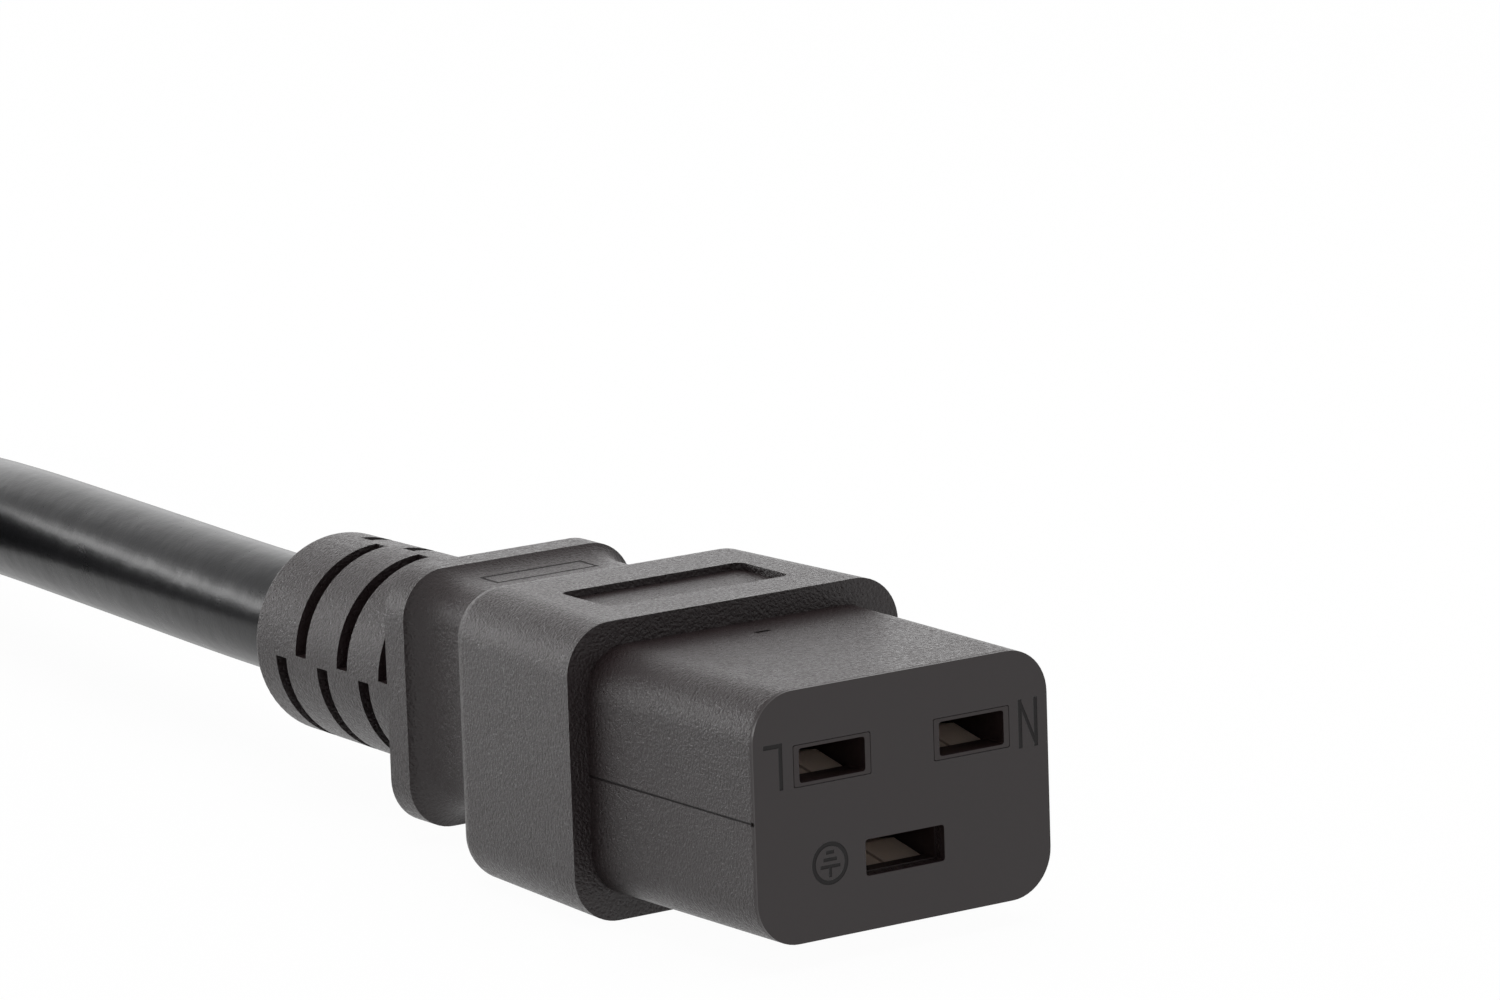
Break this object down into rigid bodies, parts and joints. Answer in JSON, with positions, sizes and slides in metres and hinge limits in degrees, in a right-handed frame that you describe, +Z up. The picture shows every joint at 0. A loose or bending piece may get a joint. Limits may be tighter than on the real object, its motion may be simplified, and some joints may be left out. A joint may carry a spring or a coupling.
{
  "type": "C19 power connector",
  "caption": "Black moulded C19 mains connector with slotted contact openings, a stepped body and a slit strain relief, on a round cord that ends in a plug.",
  "frame": {"origin": "under the middle of the connector, on the surface that its shoulder block rests on", "axes": "+Z up, -Y the way the mating face looks, +Y the way the cord leaves, +X to the right seen from the face"},
  "size_m": [0.1258, 0.2756, 0.0263],
  "materials": {
    "overmould": "satin PVC with a fine sparked texture",
    "carrier": "matt nylon",
    "contact_brass": "tin plated, dull",
    "cord_jacket": "smooth satin PVC",
    "tie": "woven strap",
    "white_nylon": "semi-matt nylon",
    "plated_blade": "nickel plated",
    "copper_strand": "bare copper strands",
    "core_black": "smooth",
    "core_white": "smooth",
    "core_green": "smooth"
  },
  "bodies": {
    "root": {"carrier_cover": "carrier", "coil_tie": "tie", "conductor_earth": "copper_strand", "conductor_line": "copper_strand", "conductor_neutral": "copper_strand", "connector_overmould": "overmould", "contact_carrier": "carrier", "contact_earth": "contact_brass", "contact_line": "contact_brass", "contact_neutral": "contact_brass", "cord_coil": "cord_jacket", "cord_lead": "cord_jacket", "cord_tail": "cord_jacket", "core_earth": "core_green", "core_line": "core_black", "core_neutral": "core_white", "plug_blade_line": "plated_blade", "plug_blade_neutral": "plated_blade", "plug_body": "overmould", "plug_bridge": "white_nylon", "plug_conductor_ground": "copper_strand", "plug_conductor_line": "copper_strand", "plug_conductor_neutral": "copper_strand", "plug_core_ground": "core_green", "plug_core_line": "core_black", "plug_core_neutral": "core_white", "plug_ground_pin": "plated_blade"}
  },
  "joints": []
}
